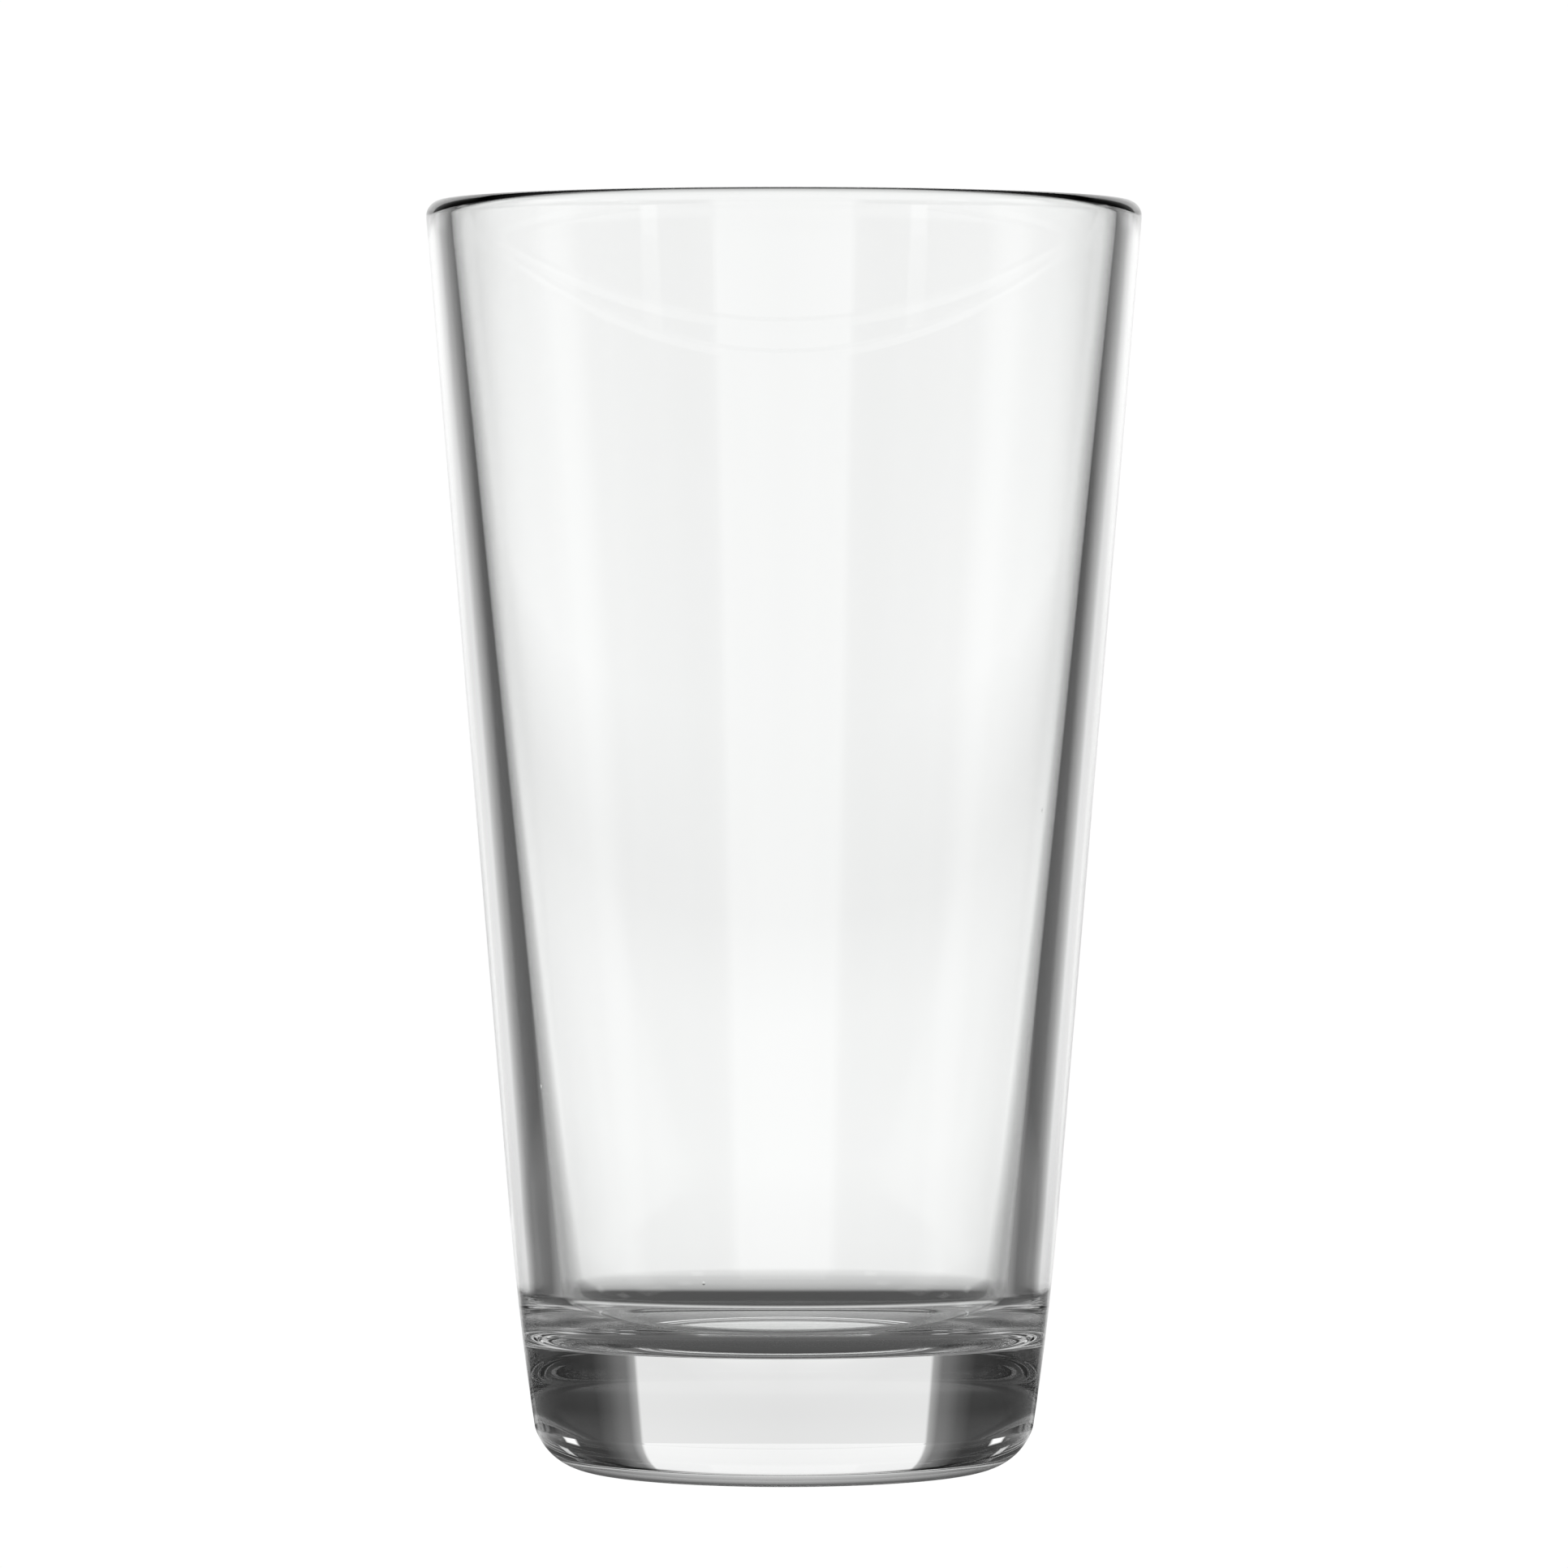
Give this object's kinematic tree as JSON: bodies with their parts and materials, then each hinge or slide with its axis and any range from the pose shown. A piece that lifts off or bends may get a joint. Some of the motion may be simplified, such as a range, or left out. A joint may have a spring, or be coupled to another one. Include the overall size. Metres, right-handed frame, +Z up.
{
  "type": "mixing glass",
  "caption": "Tapered clear tumbler with a thick solid base, a fire-polished rim and a flat ring to stand on, for stirring and shaking drinks.",
  "frame": {"origin": "centre of the flat ring that the glass stands on, level with the surface under it", "axes": "+Z up along the axis of revolution, from the base to the rim; +X and +Y are any two square directions across the glass"},
  "size_m": [0.089, 0.089, 0.158],
  "materials": {
    "clear_glass": "smooth fire-polished colourless soda-lime glass"
  },
  "bodies": {
    "root": {"glass_body": "clear_glass"}
  },
  "joints": []
}
